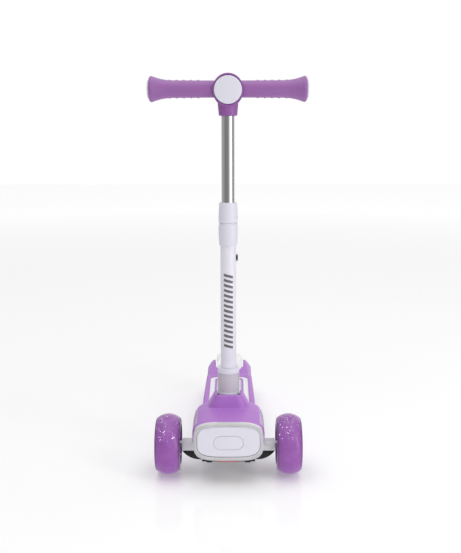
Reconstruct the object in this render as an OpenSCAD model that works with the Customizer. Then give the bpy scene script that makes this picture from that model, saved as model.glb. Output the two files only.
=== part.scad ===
// Three-wheeled lean-to-steer kick scooter for a young child.
// Millimetres, +Z up, the rider faces -Y, X runs from wheel to wheel.
// The origin lies on the floor under the middle of the scooter.

/* [Front wheels] */
// Diameter of a front wheel
front_wheel_d = 116; // [110:1:122]
// Width of a front tyre
front_wheel_w = 47; // [42:1:50]
// Distance between the middles of the front wheels
track = 229; // [224:1:240]
// Radius of the tread's crown
crown_r = 33; // [30:1:40]
// Thickness of a tyre from tread to hub
tyre_t = 20; // [14:1:22]
// Width of a front wheel's hub
front_hub_w = 36; // [30:1:38]

/* [Rear wheel] */
// Diameter of the rear wheel
rear_wheel_d = 92; // [88:1:96]
// Width of the rear tyre
rear_wheel_w = 46; // [40:1:48]
// Width of the rear wheel's hub
rear_hub_w = 50; // [48:1:52]
// Distance between the front and the rear axle
wheelbase = 430; // [425:1:460]

/* [Axles and bearings] */
// Diameter of the axle bolts
axle_d = 8; // [6:0.5:9]
// Outside diameter of a ball bearing
bearing_d = 22; // [20:1:24]
// Width of a ball bearing
bearing_w = 7; // [6:0.5:8]
// Radial running clearance of every shaft in its bore
run_fit = 0.04; // [0.02:0.01:0.08]
// Side clearance between parts that turn past each other
side_gap = 0.4; // [0.3:0.1:0.6]

/* [Front truck] */
// Height of the axle beam and its cover
beam_h = 40; // [38:1:42]
// Front-to-back depth of the axle beam
beam_d = 46; // [42:1:48]
// Distance from the scooter's middle to the end of an arm
arm_end = 88; // [84:0.5:89]
// Wall of the beam's cover
cover_wall = 2.5; // [2:0.5:3]
// Front-to-back depth of an arm
arm_d = 26; // [24:1:30]
// Height of an arm's top above the axle
arm_rise = 8; // [8:0.5:9.5]
// Drop from the axle to the seam under the cover
seam_drop = 8.5; // [7.5:0.5:9]
// Half-length of the beam's deep middle
beam_mid = 50; // [44:1:54]
// Lean of the kingpin, its top forward
kingpin_tilt = 25; // [20:1:30]
// Diameter of the kingpin
kingpin_d = 10; // [8:1:12]
// Outside diameter of the upper urethane bush
bush_d = 32; // [28:1:34]

/* [Nose] */
// Distance from the front axle forward to the lamp's face
nose_reach = 63; // [60:1:66]
// Width of the nose at its widest
nose_w = 134; // [130:1:138]
// Height of the nose's top above the floor
nose_h = 126; // [124:1:128]
// Height of the lower edge of the nose's sides
skirt_h = 84; // [82:1:86]
// Width of the nose where it meets the deck
nose_tail_w = 104; // [100:1:108]
// Wall of the nose shell
shell_wall = 3; // [2.5:0.5:3.5]

/* [Lamp] */
// Width of the clear light ring
ring_w = 129; // [126:1:130]
// Height of the clear light ring
ring_h = 74; // [72:1:76]
// Height of the light ring's lower edge above the floor
ring_low = 49; // [48:1:50]
// Width of the white face plate
plate_w = 116; // [112:1:117]
// Height of the white face plate
plate_h = 59; // [56:1:61]
// Length of the stadium badge
badge_w = 54; // [50:1:60]
// Height of the stadium badge
badge_h = 25.5; // [24:0.5:30]
// Width of the groove round the badge
badge_gap = 0.8; // [0.6:0.1:1]
// Depth of the light ring
ring_depth = 8; // [7:1:9]

/* [Deck] */
// Width of the deck at its front
deck_w = 109; // [106:1:112]
// Width of the deck at its rear
deck_tail_w = 103; // [100:1:106]
// Height of the deck's side rails above the floor
deck_h = 87; // [86:1:89]
// Thickness of the deck body
deck_t = 33; // [30:1:35]
// Wall of the hollow deck body
deck_wall = 4; // [3:0.5:4.5]
// Distance from the front axle to where the deck starts to narrow
narrow_from = 185; // [170:5:200]
// Outer width of the white trim frame
trim_w = 84; // [82:1:88]
// Width of one side of the trim frame
trim_band = 11; // [9:1:12]
// Width of the purple line between the trim and the pad
line_w = 3.6; // [3:0.2:4.5]
// Distance from the front axle to the trim's rear edge
trim_rear = 323; // [318:1:326]
// Distance from the front axle to the trim's front edge
trim_front = 118; // [116:1:124]
// Corner radius of the trim frame
trim_r = 14; // [10:1:16]
// Depth of the recess that holds the trim and the pad
inlay_t = 3; // [2.5:0.5:3.5]
// Height of the rear shoulders above the floor
shoulder_h = 100; // [99:1:103]
// Height at which the shoulders start to slope inwards
slope_h = 70; // [66:1:82]

/* [Brake] */
// Width of the brake fender
fender_w = 60; // [58:1:62]
// Radius of the fender's top, from the rear axle
fender_r = 61.5; // [60:0.5:62]
// Wall of the fender
fender_wall = 3.5; // [3:0.5:4]
// Distance from the front axle to the fender's hinge pin
brake_pin_back = 382; // [380:1:384]
// Height of the fender's hinge pin
brake_pin_h = 84.5; // [83:0.5:85]
// Diameter of the fender's hinge pin
brake_pin_d = 5; // [4:0.5:6]
// Gap between the brake shoe and the tyre when released
shoe_gap = 3.2; // [3:0.1:4]
// Gap between the fender and the deck's rear shoulders
fender_gap = 2.8; // [2:0.2:3.2]

/* [Stem] */
// Backward lean of the stem
rake = 2; // [0:0.5:4]
// Distance from the front axle back to the folding pin
pivot_back = 46; // [44:1:48]
// Height of the folding pin
pivot_h = 141; // [140:1:143]
// Outside diameter of the lower stem tube
outer_tube_d = 30; // [29:0.5:31]
// Wall of the lower stem tube
outer_wall = 1.5; // [1.2:0.1:1.6]
// Distance from the folding pin to the top of the lower tube
outer_tube_top = 333; // [320:1:340]
// Outside diameter of the sliding chrome tube
inner_tube_d = 25.4; // [24:0.2:25.6]
// Wall of the sliding chrome tube
inner_wall = 1.4; // [1.2:0.1:1.6]
// Distance that the chrome tube slides
height_travel = 150; // [120:10:150]
// Number of height settings
height_steps = 4; // [3:1:4]
// Diameter of the folding pin
fold_pin_d = 8; // [6:0.5:8]

/* [Folding joint] */
// Width of the folding knuckle
knuckle_w = 41; // [40:0.5:42]
// Distance from the folding pin to the knuckle's front
knuckle_front = 22.5; // [22:0.5:23]
// Distance from the folding pin to the knuckle's top
knuckle_top = 55; // [52:1:58]
// Width of the release button
fold_button_w = 38; // [34:0.5:38]
// Height of the release button
fold_button_h = 36; // [34:1:37]
// Travel of the release button
fold_button_travel = 2.5; // [2:0.1:2.6]

/* [Clamp] */
// Diameter of the clamp's sleeves at their joint
clamp_d = 36.6; // [36:0.2:38]
// Length of the lower sleeve
clamp_base_l = 38.5; // [36:0.5:44]
// Length of the upper sleeve
clamp_nut_l = 38; // [34:1:42]
// Width of the dark groove between the sleeves
clamp_groove = 3.6; // [3:0.2:5]
// Width of the height button, front to back
height_button_w = 7; // [6:0.5:8]
// Length of the height button along the stem
height_button_l = 14; // [12:1:16]
// Travel of the height button
height_button_travel = 1.2; // [1:0.1:1.3]

/* [Handlebar] */
// Overall width of the handlebar
bar_w = 296; // [290:1:320]
// Distance from the folding pin to the handlebar's middle
bar_s = 581; // [570:1:590]
// Diameter of a grip where its flare starts
grip_d = 31.8; // [30:0.2:33]
// Diameter of a grip beside the head
grip_waist_d = 30.8; // [28:0.2:32]
// Diameter of a grip's flared end
flare_d = 47.6; // [44:0.4:52]
// Length of a grip's flare
flare_l = 40; // [30:1:44]
// Diameter of the handlebar's steel tube
bar_tube_d = 22; // [20:1:22]
// Height of the grips' middle above the head's middle
bar_rise = 2; // [0:0.5:3]
// Width of the head's round housing
head_w = 57; // [56:0.5:58]
// Height of the head's round housing
head_h = 60; // [58:0.5:60]
// Height of the white disc
disc_h = 53.6; // [52:0.2:55]
// Front-to-back depth of the head
head_depth = 40; // [38:1:44]
// Width of the neck at its top
neck_w = 40.5; // [38:0.5:42]
// Width of the neck at its foot
neck_foot_w = 34; // [32:0.5:36]
// Ribs on a grip
grip_ribs = 5; // [4:1:6]

/* [Hidden] */

$fn = 72;
eps = 0.02;
FAR = 800;

purple = "#b77fd0";
deep_purple = "#9a62ac";
white = "#dcdbe8";
lilac = "#e1dfef";
black = "#232326";
grey = "#bdb9c2";
steel = "#a9adb3";
clear = "#e9eef4";

// The fender's end and the lamp's face set the scooter's length, and so its middle.
fender_tail_angle = 22;
tail_reach = wheelbase + fender_r * cos(fender_tail_angle);
axle_y = (nose_reach - tail_reach) / 2;
axle_h = front_wheel_d / 2;
rear_axle_h = rear_wheel_d / 2;

// A rounded rectangle whose sides bulge, from half sizes and an exponent.
section_n = 3.8;
section_points = 64;
function blunt(v, n) = sign(v) * pow(abs(v), 2 / n);
function superellipse(a, b, n = section_n) =
    [for (i = [0 : section_points - 1])
        let (t = 360 * (i + 0.5) / section_points)
        [a * blunt(cos(t), n), b * blunt(sin(t), n)]];

// ---- places -------------------------------------------------------------

// Frame with its origin on the floor below the front axle
module from_axle() {
    translate([0, axle_y, 0]) children();
}

// Frame at the middle of the front axle, Z along the kingpin
module along_kingpin(d = 0) {
    translate([0, axle_y, axle_h]) rotate([kingpin_tilt, 0, 0]) translate([0, 0, d]) children();
}

// Frame of the stem: origin at the folding pin, Z up the stem
module on_stem(s = 0) {
    translate([0, axle_y + pivot_back, pivot_h]) rotate([-rake, 0, 0]) translate([0, 0, s]) children();
}

module at_rear_axle() {
    translate([0, axle_y + wheelbase, rear_axle_h]) children();
}

// Turns a shape drawn along Z so that it lies along X
module along_x() {
    rotate([0, 90, 0]) children();
}

module tube(d_out, d_in, l) {
    difference() {
        cylinder(d = d_out, h = l);
        translate([0, 0, -eps]) cylinder(d = d_in, h = l + 2 * eps);
    }
}

// A ring between two X positions
module x_sleeve(d_out, d_in, x0, x1) {
    translate([x0, 0, 0]) along_x() tube(d_out, d_in, x1 - x0);
}

module x_rod(d, x0, x1) {
    translate([x0, 0, 0]) along_x() cylinder(d = d, h = x1 - x0);
}

// A rectangle with round corners, centred
module round_rect(w, h, r) {
    square([w - 2 * r, h], center = true);
    square([w, h - 2 * r], center = true);
    for (x = [-1, 1], y = [-1, 1]) translate([x * (w / 2 - r), y * (h / 2 - r)]) circle(r);
}

// A profile in the YZ plane, drawn with Y across and Z up, swept to both sides of X = 0
module across(w) {
    rotate([90, 0, 90]) linear_extrude(w, center = true) children();
}

// A profile in the XZ plane, drawn with X across and Z up, swept from y0 back to y1
module backward(y0, y1) {
    translate([0, y1, 0]) rotate([90, 0, 0]) linear_extrude(y1 - y0) children();
}

// ---- wheels -------------------------------------------------------------

hub_rim_t = 6;
hub_boss_d = bearing_d + 10;
hub_web_t = 9;
hub_windows = 6;

module tyre(d, w) {
    along_x() rotate_extrude() intersection() {
        translate([d / 2 - crown_r, 0]) circle(crown_r);
        translate([d / 2 - tyre_t, -w / 2]) square([tyre_t, w]);
    }
}

// Spoked nylon hub with a seat for a bearing at each side
module hub(d, rim_w, boss_w) {
    rim_r = d / 2 - tyre_t;
    bore_d = bearing_d - 4;
    window_r = (rim_r - hub_rim_t + hub_boss_d / 2) / 2;
    window_d = (rim_r - hub_rim_t - hub_boss_d / 2) * 0.72;
    along_x() difference() {
        union() {
            translate([0, 0, -rim_w / 2]) difference() {
                cylinder(r = rim_r, h = rim_w);
                translate([0, 0, -eps]) cylinder(r = rim_r - hub_rim_t, h = rim_w + 2 * eps);
            }
            cylinder(r = rim_r - hub_rim_t / 2, h = hub_web_t, center = true);
            cylinder(d = hub_boss_d, h = boss_w, center = true);
        }
        cylinder(d = bore_d, h = boss_w + 1, center = true);
        for (e = [-1, 1])
            translate([0, 0, e * (boss_w / 2 - bearing_w / 2 + eps)])
                cylinder(d = bearing_d, h = bearing_w + 2 * eps, center = true);
        for (i = [0 : hub_windows - 1])
            rotate(i * 360 / hub_windows) translate([window_r, 0, 0])
                cylinder(d = window_d, h = hub_web_t + 1, center = true);
    }
}

// The pair of ball bearings of one wheel
module bearings(boss_w) {
    for (e = [-1, 1]) {
        x0 = e > 0 ? boss_w / 2 - bearing_w : -boss_w / 2;
        x_sleeve(bearing_d, axle_d + 2 * run_fit, x0, x0 + bearing_w);
    }
}

module at_front_wheel(side) {
    translate([side * track / 2, axle_y, axle_h]) children();
}

module left_tyre() color(purple) at_front_wheel(-1) tyre(front_wheel_d, front_wheel_w);
module right_tyre() color(purple) at_front_wheel(1) tyre(front_wheel_d, front_wheel_w);
module left_hub() color(deep_purple) at_front_wheel(-1) hub(front_wheel_d, front_hub_w, front_hub_w);
module right_hub() color(deep_purple) at_front_wheel(1) hub(front_wheel_d, front_hub_w, front_hub_w);
module left_bearings() color(steel) at_front_wheel(-1) bearings(front_hub_w);
module right_bearings() color(steel) at_front_wheel(1) bearings(front_hub_w);
module rear_tyre() color(purple) at_rear_axle() tyre(rear_wheel_d, rear_wheel_w);
module rear_hub() color(deep_purple) at_rear_axle() hub(rear_wheel_d, rear_wheel_w - 8, rear_hub_w);
module rear_bearings() color(steel) at_rear_axle() bearings(rear_hub_w);

// ---- front truck --------------------------------------------------------

// The beam's belly is flat and rounds up to the seam under the cover at both ends.
beam_low = axle_h + 14 - beam_h;
belly_r = 40;
seam_h = axle_h - seam_drop;
belly_half = arm_end - sqrt(pow(belly_r, 2) - pow(belly_r - seam_h + beam_low, 2));
axle_root = 30;
pocket_low = 16;
pocket_d = bush_d + 22;
housing_low = 24;
nut_pocket = 20;
spacer_d = 13;
nut_h = 5;
nut_d = 13;

// Clearance for the kingpin, its bushes and its housing, the same at every lean
module kingpin_room() {
    along_kingpin(-beam_h) cylinder(d = kingpin_d + 2 * run_fit, h = 2 * beam_h);
    along_kingpin(pocket_low) cylinder(d = pocket_d, h = beam_h);
    along_kingpin(-nut_pocket - beam_h) cylinder(d = bush_d, h = beam_h);
}

// A length of the truck in side view: its deep middle or its arms, from the seam up
module truck_bar(half, depth, top, r) {
    from_axle() across(2 * half) intersection() {
        translate([0, seam_h]) round_rect(depth, 2 * (top - seam_h), r);
        translate([-depth, seam_h]) square([2 * depth, top]);
    }
}

// The beam from the front, below the seam
module belly() {
    translate([-belly_half, beam_low]) square([2 * belly_half, belly_r]);
    for (e = [-1, 1]) translate([e * belly_half, beam_low + belly_r]) circle(belly_r, $fn = 144);
}

// What stands up inside the cover
module beam_core() {
    from_axle() {
        translate([-beam_mid + cover_wall, -beam_d / 2 + cover_wall, seam_h])
            cube([2 * (beam_mid - cover_wall), beam_d - 2 * cover_wall,
                  beam_low + beam_h - cover_wall - seam_h]);
        translate([-arm_end, -arm_d / 2 + cover_wall, seam_h])
            cube([2 * arm_end, arm_d - 2 * cover_wall, axle_h + arm_rise - cover_wall - seam_h]);
    }
}

module axle_beam() {
    color(black) difference() {
        union() {
            from_axle() for (b = [[beam_mid, beam_d], [arm_end, arm_d]])
                backward(-b[1] / 2, b[1] / 2) intersection() {
                    belly();
                    translate([-b[0], beam_low]) square([2 * b[0], seam_h - beam_low]);
                }
            beam_core();
        }
        kingpin_room();
        for (e = [-1, 1])
            translate([e * (axle_root + arm_end) / 2, axle_y, axle_h])
                along_x() cylinder(d = axle_d, h = arm_end - axle_root + 2 * eps, center = true);
    }
}

module axle_cover() {
    color(white) difference() {
        union() {
            truck_bar(beam_mid, beam_d, beam_low + beam_h, 5);
            truck_bar(arm_end, arm_d, axle_h + arm_rise, 4);
        }
        beam_core();
        kingpin_room();
    }
}

module front_axles() {
    color(steel) for (e = [-1, 1])
        translate([e > 0 ? axle_root : -track / 2 - front_hub_w / 2 - nut_h - side_gap, axle_y, axle_h])
            x_rod(axle_d, 0, track / 2 + front_hub_w / 2 + nut_h + side_gap - axle_root);
}

module front_axle_nuts() {
    x0 = track / 2 + front_hub_w / 2 + side_gap;
    color(steel) for (e = [-1, 1])
        translate([e * (x0 + nut_h / 2), axle_y, axle_h]) along_x() difference() {
            cylinder(d = nut_d, h = nut_h, center = true, $fn = 6);
            cylinder(d = axle_d, h = nut_h + 1, center = true);
        }
}

// Sleeves that hold each wheel's bearings apart and off the arm
module front_spacers() {
    wheel_in = track / 2 - front_hub_w / 2;
    wheel_out = track / 2 + front_hub_w / 2;
    spans = [[arm_end, wheel_in - side_gap],
             [wheel_in + bearing_w + side_gap, wheel_out - bearing_w - side_gap]];
    color(steel) for (e = [-1, 1], s = spans)
        translate([e > 0 ? s[0] : -s[1], axle_y, axle_h]) x_sleeve(spacer_d, axle_d, 0, s[1] - s[0]);
}

plate_h0 = pivot_h - 41;
kingpin_top = (plate_h0 - axle_h - 2.3) / cos(kingpin_tilt);
kingpin_low = 34;
kingpin_nut_l = 6;
bush_gap = 0.3;

module kingpin() {
    color(steel) along_kingpin(-kingpin_low) cylinder(d = kingpin_d, h = kingpin_low + kingpin_top);
}

module kingpin_nut() {
    color(steel) along_kingpin(-kingpin_low) difference() {
        cylinder(d = kingpin_d + 8, h = kingpin_nut_l, $fn = 6);
        translate([0, 0, -eps]) cylinder(d = kingpin_d, h = kingpin_nut_l + 2 * eps);
    }
}

// Urethane bushes above and below the beam, which centre the steering
module steer_bushes() {
    color(grey) {
        along_kingpin(pocket_low + bush_gap) tube(bush_d, kingpin_d, housing_low - pocket_low - bush_gap);
        along_kingpin(-kingpin_low + kingpin_nut_l)
            tube(bush_d - 6, kingpin_d, kingpin_low - kingpin_nut_l - nut_pocket - bush_gap);
    }
}

// ---- deck ---------------------------------------------------------------

deck_low = deck_h - deck_t;
tray_t = 3;
front_block_y = 42;
front_block_w = 90;
slab_front = 112;
tail_front = wheelbase - 104;
tail_back = wheelbase + 26;
tail_low = rear_axle_h - 12;
ramp_h = deck_h + 8;
rail_r = 6;
floor_h = deck_h - inlay_t - deck_wall;
pad_w = trim_w - 2 * trim_band - 2 * line_w;
trim_l = trim_rear - trim_front;
pad_l = trim_l - 2 * trim_band - 2 * line_w;
fender_room_w = fender_w + 2 * fender_gap;
ridge_w = fender_room_w + 3;
fork_front = wheelbase - 68;
inlay_low = 1;

// Half-section of the slab, with round rails
module slab_section(w) {
    translate([0, deck_low + deck_t / 2]) union() {
        translate([0, -deck_t / 4]) square([w, deck_t / 2], center = true);
        round_rect(w, deck_t, rail_r, $fn = 32);
    }
}

module deck_slab() {
    hull() {
        backward(slab_front, narrow_from) slab_section(deck_w);
        backward(tail_front + 9, tail_front + 10) slab_section(deck_tail_w);
    }
}

// Side view of the rear: a hollow ramp, the shoulders and the fork arms
module tail_profile() {
    difference() {
        polygon([
            [tail_front, deck_low], [tail_front, deck_h], [fork_front, deck_h + 2], [fork_front + 12, ramp_h],
            [fork_front + 30, shoulder_h], [fork_front + 52, shoulder_h], [fork_front + 74, shoulder_h - 14],
            [tail_back, rear_axle_h + 14], [tail_back, rear_axle_h - 4], [tail_back - 12, tail_low],
            [wheelbase - 22, tail_low], [fork_front, deck_low]
        ]);
        translate([fork_front - 12, deck_h + 26]) circle(26);
    }
}

// The shoulders slope in towards the ridges beside the fender
module tail_section() {
    half = [[deck_tail_w / 2, 0], [deck_tail_w / 2, slope_h], [deck_tail_w / 2 - 1.5, slope_h + 4],
            [ridge_w / 2 + 4.5, shoulder_h - 3], [ridge_w / 2, shoulder_h]];
    polygon(concat(half, [for (i = [len(half) - 1 : -1 : 0]) [-half[i][0], half[i][1]]]));
}

module tail() {
    intersection() {
        across(FAR) tail_profile();
        backward(tail_front, tail_back) tail_section();
    }
}

// A slab-shaped ring or plate laid in the deck's top
module inlay(z0, h, grow = 0) {
    translate([0, (trim_rear + trim_front) / 2, z0]) linear_extrude(h)
        round_rect(trim_w + grow, trim_l + grow, trim_r);
}

module pad_plate(z0, h) {
    translate([0, (trim_rear + trim_front) / 2, z0]) linear_extrude(h) round_rect(pad_w, pad_l, trim_r / 2);
}

module trim_ring(z0, h) {
    difference() {
        inlay(z0, h);
        translate([0, (trim_rear + trim_front) / 2, z0 - 1]) linear_extrude(h + 2)
            round_rect(trim_w - 2 * trim_band, trim_l - 2 * trim_band, trim_r - trim_band / 2);
    }
}

tray_screw_x = 34;
tray_screw_ys = [128, 225, tail_front - 8];
tray_screw_d = 4;
rib_half = 10;
bolt_d = 6;
bolt_x = 36;
bolt_ys = [54, 76];

module each_tray_screw() {
    for (x = [-1, 1], y = tray_screw_ys) translate([x * tray_screw_x, y, 0]) children();
}

module each_bracket_bolt() {
    for (x = [-1, 1], y = bolt_ys) translate([x * bolt_x, y, 0]) children();
}

module deck_body() {
    pocket_w = deck_tail_w - 2 * deck_wall - 8;
    color(purple) from_axle() difference() {
        union() {
            deck_slab();
            tail();
            translate([-deck_w / 2, front_block_y + 10, deck_low])
                cube([deck_w, slab_front - front_block_y, skirt_h - deck_low]);
            across(front_block_w) polygon([
                [front_block_y, deck_low], [front_block_y, plate_h0], [front_block_y + 44, plate_h0],
                [slab_front, floor_h], [slab_front + 10, floor_h], [slab_front + 10, deck_low]
            ]);
        }
        trim_ring(deck_h - inlay_t, inlay_t + 1);
        pad_plate(deck_h - inlay_t, inlay_t + 1);
        // hollow underside, with cross ribs that carry the screws
        for (i = [0 : 1]) translate([-pocket_w / 2, tray_screw_ys[i] + rib_half, deck_low - 1])
            cube([pocket_w, tray_screw_ys[i + 1] - tray_screw_ys[i] - 2 * rib_half, floor_h - deck_low + 1]);
        translate([-front_block_w / 2 + deck_wall + 12, front_block_y + deck_wall, deck_low - 1])
            cube([front_block_w - 2 * deck_wall - 24, 52, plate_h0 - deck_low - deck_wall + 1]);
        // fork for the rear wheel and room for the fender
        translate([0, fork_front + 100, -1]) linear_extrude(FAR) round_rect(fender_room_w, 200, 20);
        translate([0, wheelbase, rear_axle_h]) {
            along_x() cylinder(d = axle_d, h = FAR, center = true);
            for (e = [-1, 1]) translate([e * (deck_tail_w / 2 - nut_sink / 2 + 0.5), 0, 0])
                along_x() cylinder(d = rear_nut_d + 2, h = nut_sink + 1, center = true);
        }
        translate([0, brake_pin_back, brake_pin_h]) along_x()
            cylinder(d = brake_pin_d, h = 2 * brake_arm_x, center = true);
        each_tray_screw() translate([0, 0, deck_low - 1]) cylinder(d = tray_screw_d, h = 17);
        each_bracket_bolt() translate([0, 0, plate_h0 - 24]) cylinder(d = bolt_d, h = 25);
    }
}

module under_tray() {
    tray_front = front_block_y + 2;
    tray_l = tail_front + 14 - tray_front;
    color(black) from_axle() difference() {
        translate([0, tray_front + tray_l / 2, deck_low - tray_t]) linear_extrude(tray_t)
            round_rect(front_block_w, tray_l, 10);
        each_tray_screw() translate([0, 0, deck_low - tray_t - 1]) cylinder(d = tray_screw_d, h = tray_t + 2);
    }
}

module tray_screws() {
    color(steel) from_axle() each_tray_screw() {
        translate([0, 0, deck_low - tray_t - 2.4]) cylinder(d = tray_screw_d * 2, h = 2.4);
        translate([0, 0, deck_low - tray_t]) cylinder(d = tray_screw_d, h = tray_t + 14);
    }
}

module deck_trim() color(white) from_axle() trim_ring(deck_h - inlay_t, inlay_t - inlay_low);
module deck_pad() color(lilac) from_axle() pad_plate(deck_h - inlay_t, inlay_t - inlay_low);

// ---- nose ---------------------------------------------------------------

ring_mid_h = ring_low + ring_h / 2;
plate_rise = 1;
badge_drop = 0.9;
cowl_front = nose_reach - 1 - ring_depth;
nose_mid_h = ring_mid_h;
plate_t = 4;
bracket_front = 45;
ear_t = 3;
ear_gap = 1.8;
ear_w = 13;
well_w = knuckle_w + 3.6;
well_front = knuckle_front + 1;
well_floor = pivot_h - 21.5;
well_l = 66;
collar_w = 77;
collar_l = 62;
rim_w = 53;
rim_r = 13;
rim_front = 29.5;
rim_tail = 5;
rim_h = pivot_h + 10.5;
bracket_w = 82;
plate_rest = 46;

// Cross-sections of the nose: half width, top, distance behind the axle and squareness
nose_sections = [
    [nose_w / 2 - 1, ring_low + ring_h + 0.2, -cowl_front, section_n],
    [nose_w / 2 + 0.5, nose_h - 1, -34, section_n],
    [nose_w / 2 + 0.5, nose_h, 14, 4.2],
    [nose_w / 2 - 1, nose_h - 2, 45, 4.6],
    [nose_w / 2 - 3.5, nose_h - 4, 60, 4.6],
    [nose_w / 2 - 7.5, nose_h - 7, 74, 4.6],
    [nose_tail_w / 2 + 2.5, nose_h - 10, 84, 4.6],
    [nose_tail_w / 2, deck_h + 2, slab_front + 2, 4.6]
];
pin_room = knuckle_w + 2 * (ear_gap + ear_t) + 4;
ear_x = knuckle_w / 2 + ear_gap + ear_t / 2;
ear_slack = 0.3;

module nose_slab(s, inset) {
    translate([0, s[2] + 0.5, nose_mid_h]) rotate([90, 0, 0]) linear_extrude(1, center = true)
        polygon(superellipse(s[0] - inset, max(eps, s[1] - inset - nose_mid_h), s[3]));
}

module nose_form(inset) {
    last = len(nose_sections) - 1;
    hull() for (i = [0 : last - 1]) nose_slab(nose_sections[i], inset);
    hull() for (i = [last - 1 : last]) nose_slab(nose_sections[i], inset);
}

// The raised collar round the folding joint, tapered to a level rim that is round in front
module collar() {
    hull() translate([0, pivot_back, 0]) {
        translate([0, 0, nose_h - 14]) linear_extrude(1) round_rect(collar_w + 6, collar_l + 4, 20, $fn = 32);
        translate([0, 0, nose_h]) linear_extrude(1) round_rect(collar_w, collar_l, 18, $fn = 32);
        translate([0, rim_r - rim_front, rim_h - 1]) linear_extrude(1) {
            for (e = [-1, 1]) translate([e * (rim_w / 2 - rim_r), 0]) circle(rim_r, $fn = 64);
            translate([-rim_w / 2, 0]) square([rim_w, rim_front - rim_r + rim_tail]);
        }
    }
}

// The shape of one steel ear, on edge, with the fold pin's centre in its round top
module ear_plate(t, grow = 0) {
    r = ear_w / 2 + grow;
    translate([0, pivot_back, 0]) across(t) {
        translate([-r, plate_h0 - grow]) square([2 * r, pivot_h - plate_h0 + grow]);
        translate([0, pivot_h]) circle(r);
    }
}

module nose_cowl() {
    color(purple) from_axle() difference() {
        union() {
            difference() {
                nose_form(0);
                difference() {
                    nose_form(shell_wall);
                    translate([0, pivot_back - well_front - shell_wall + well_l / 2, well_floor - shell_wall])
                        linear_extrude(FAR) square([well_w + 2 * shell_wall, well_l], center = true);
                }
                translate([0, -cowl_front, nose_mid_h]) rotate([90, 0, 0])
                    linear_extrude(4, center = true)
                        polygon(superellipse(nose_w / 2 - 1 - shell_wall, ring_h / 2 + 0.2 - shell_wall));
            }
            collar();
        }
        // everything below the skirt, and the hollow under the collar
        translate([-FAR / 2, -FAR / 2, -1]) cube([FAR, FAR, skirt_h + 1]);
        translate([-FAR / 2, slab_front, -1]) cube([FAR, FAR, deck_h + 1]);
        translate([-collar_w / 2 + 2, pivot_back - collar_l / 2 + 1, 0])
            cube([collar_w - 4, collar_l - 2, well_floor - shell_wall]);
        // the well that the knuckle folds through, open to the rear
        translate([-well_w / 2, pivot_back - well_front, well_floor]) cube([well_w, FAR, FAR]);
        // slots for the steel ears, and room for the pin
        for (e = [-1, 1]) translate([e * ear_x, 0, 0]) ear_plate(ear_t + 2 * ear_slack, ear_slack);
        translate([0, pivot_back, pivot_h]) along_x()
            cylinder(d = fold_pin_d + 2 * ear_slack, h = pin_room, center = true);
    }
}

// Steel weldment: base plate, ears for the folding pin, and the kingpin's housing
module chassis_bracket() {
    plate_back = front_block_y + plate_rest;
    color(black) from_axle() difference() {
        union() {
            translate([-bracket_w / 2, -bracket_front, plate_h0])
                cube([bracket_w, bracket_front + plate_back, plate_t]);
            for (e = [-1, 1]) translate([e * ear_x, 0, 0]) ear_plate(ear_t);
            intersection() {
                translate([0, 0, axle_h]) rotate([kingpin_tilt, 0, 0]) translate([0, 0, housing_low])
                    cylinder(d = bush_d + 10, h = FAR);
                translate([-FAR / 2, -bracket_front, 0]) cube([FAR, FAR, plate_h0 + 1]);
            }
        }
        translate([0, 0, axle_h]) rotate([kingpin_tilt, 0, 0]) cylinder(d = kingpin_d, h = kingpin_top);
        translate([0, pivot_back, pivot_h]) along_x() cylinder(d = fold_pin_d, h = FAR, center = true);
        each_bracket_bolt() translate([0, 0, plate_h0 - 1]) cylinder(d = bolt_d, h = plate_t + 2);
    }
}

module bracket_bolts() {
    color(steel) from_axle() each_bracket_bolt() {
        translate([0, 0, plate_h0 + plate_t]) cylinder(d = bolt_d * 1.7, h = 4, $fn = 6);
        translate([0, 0, plate_h0 - 22]) cylinder(d = bolt_d, h = 22 + plate_t);
    }
}

// ---- lamp ---------------------------------------------------------------

ring_front = nose_reach - 1;
ring_back = ring_front - ring_depth;
bezel = 1.5;
plate_back = ring_front - 6;
housing_back = bracket_front;
housing_wall = 3;
housing_w = ring_w - 4;
housing_h = ring_h - 8;
led_count = 12;
board_t = 1.5;

// A superellipse plate standing across the nose, between two distances ahead of the axle
module face_slab(w, h, drop, front, back) {
    translate([0, -back, ring_mid_h - drop]) rotate([90, 0, 0]) linear_extrude(front - back)
        polygon(superellipse(w / 2, h / 2));
}

module badge_outline(grow) {
    round_rect(badge_w + grow, badge_h + grow, (badge_h + grow) / 2 - 0.01);
}

module badge_slab(grow, front, back) {
    translate([0, -back, ring_mid_h - badge_drop]) rotate([90, 0, 0]) linear_extrude(front - back)
        badge_outline(grow);
}

module light_ring() {
    color(clear) from_axle() difference() {
        union() {
            face_slab(ring_w, ring_h, 0, ring_front - bezel, ring_back);
            face_slab(ring_w - 2 * bezel, ring_h - 2 * bezel, 0, ring_front, ring_back);
        }
        face_slab(plate_w, plate_h, -plate_rise, ring_front + 1, ring_back - 1);
    }
}

module face_plate() {
    color(white) from_axle() difference() {
        union() {
            face_slab(plate_w, plate_h, -plate_rise, nose_reach - bezel, plate_back);
            face_slab(plate_w - 2 * bezel, plate_h - 2 * bezel, -plate_rise, nose_reach, plate_back);
        }
        badge_slab(2 * badge_gap, nose_reach + 1, nose_reach - 1.6);
    }
}

module badge() color(white) from_axle() badge_slab(0, nose_reach, nose_reach - 1.6);

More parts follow.
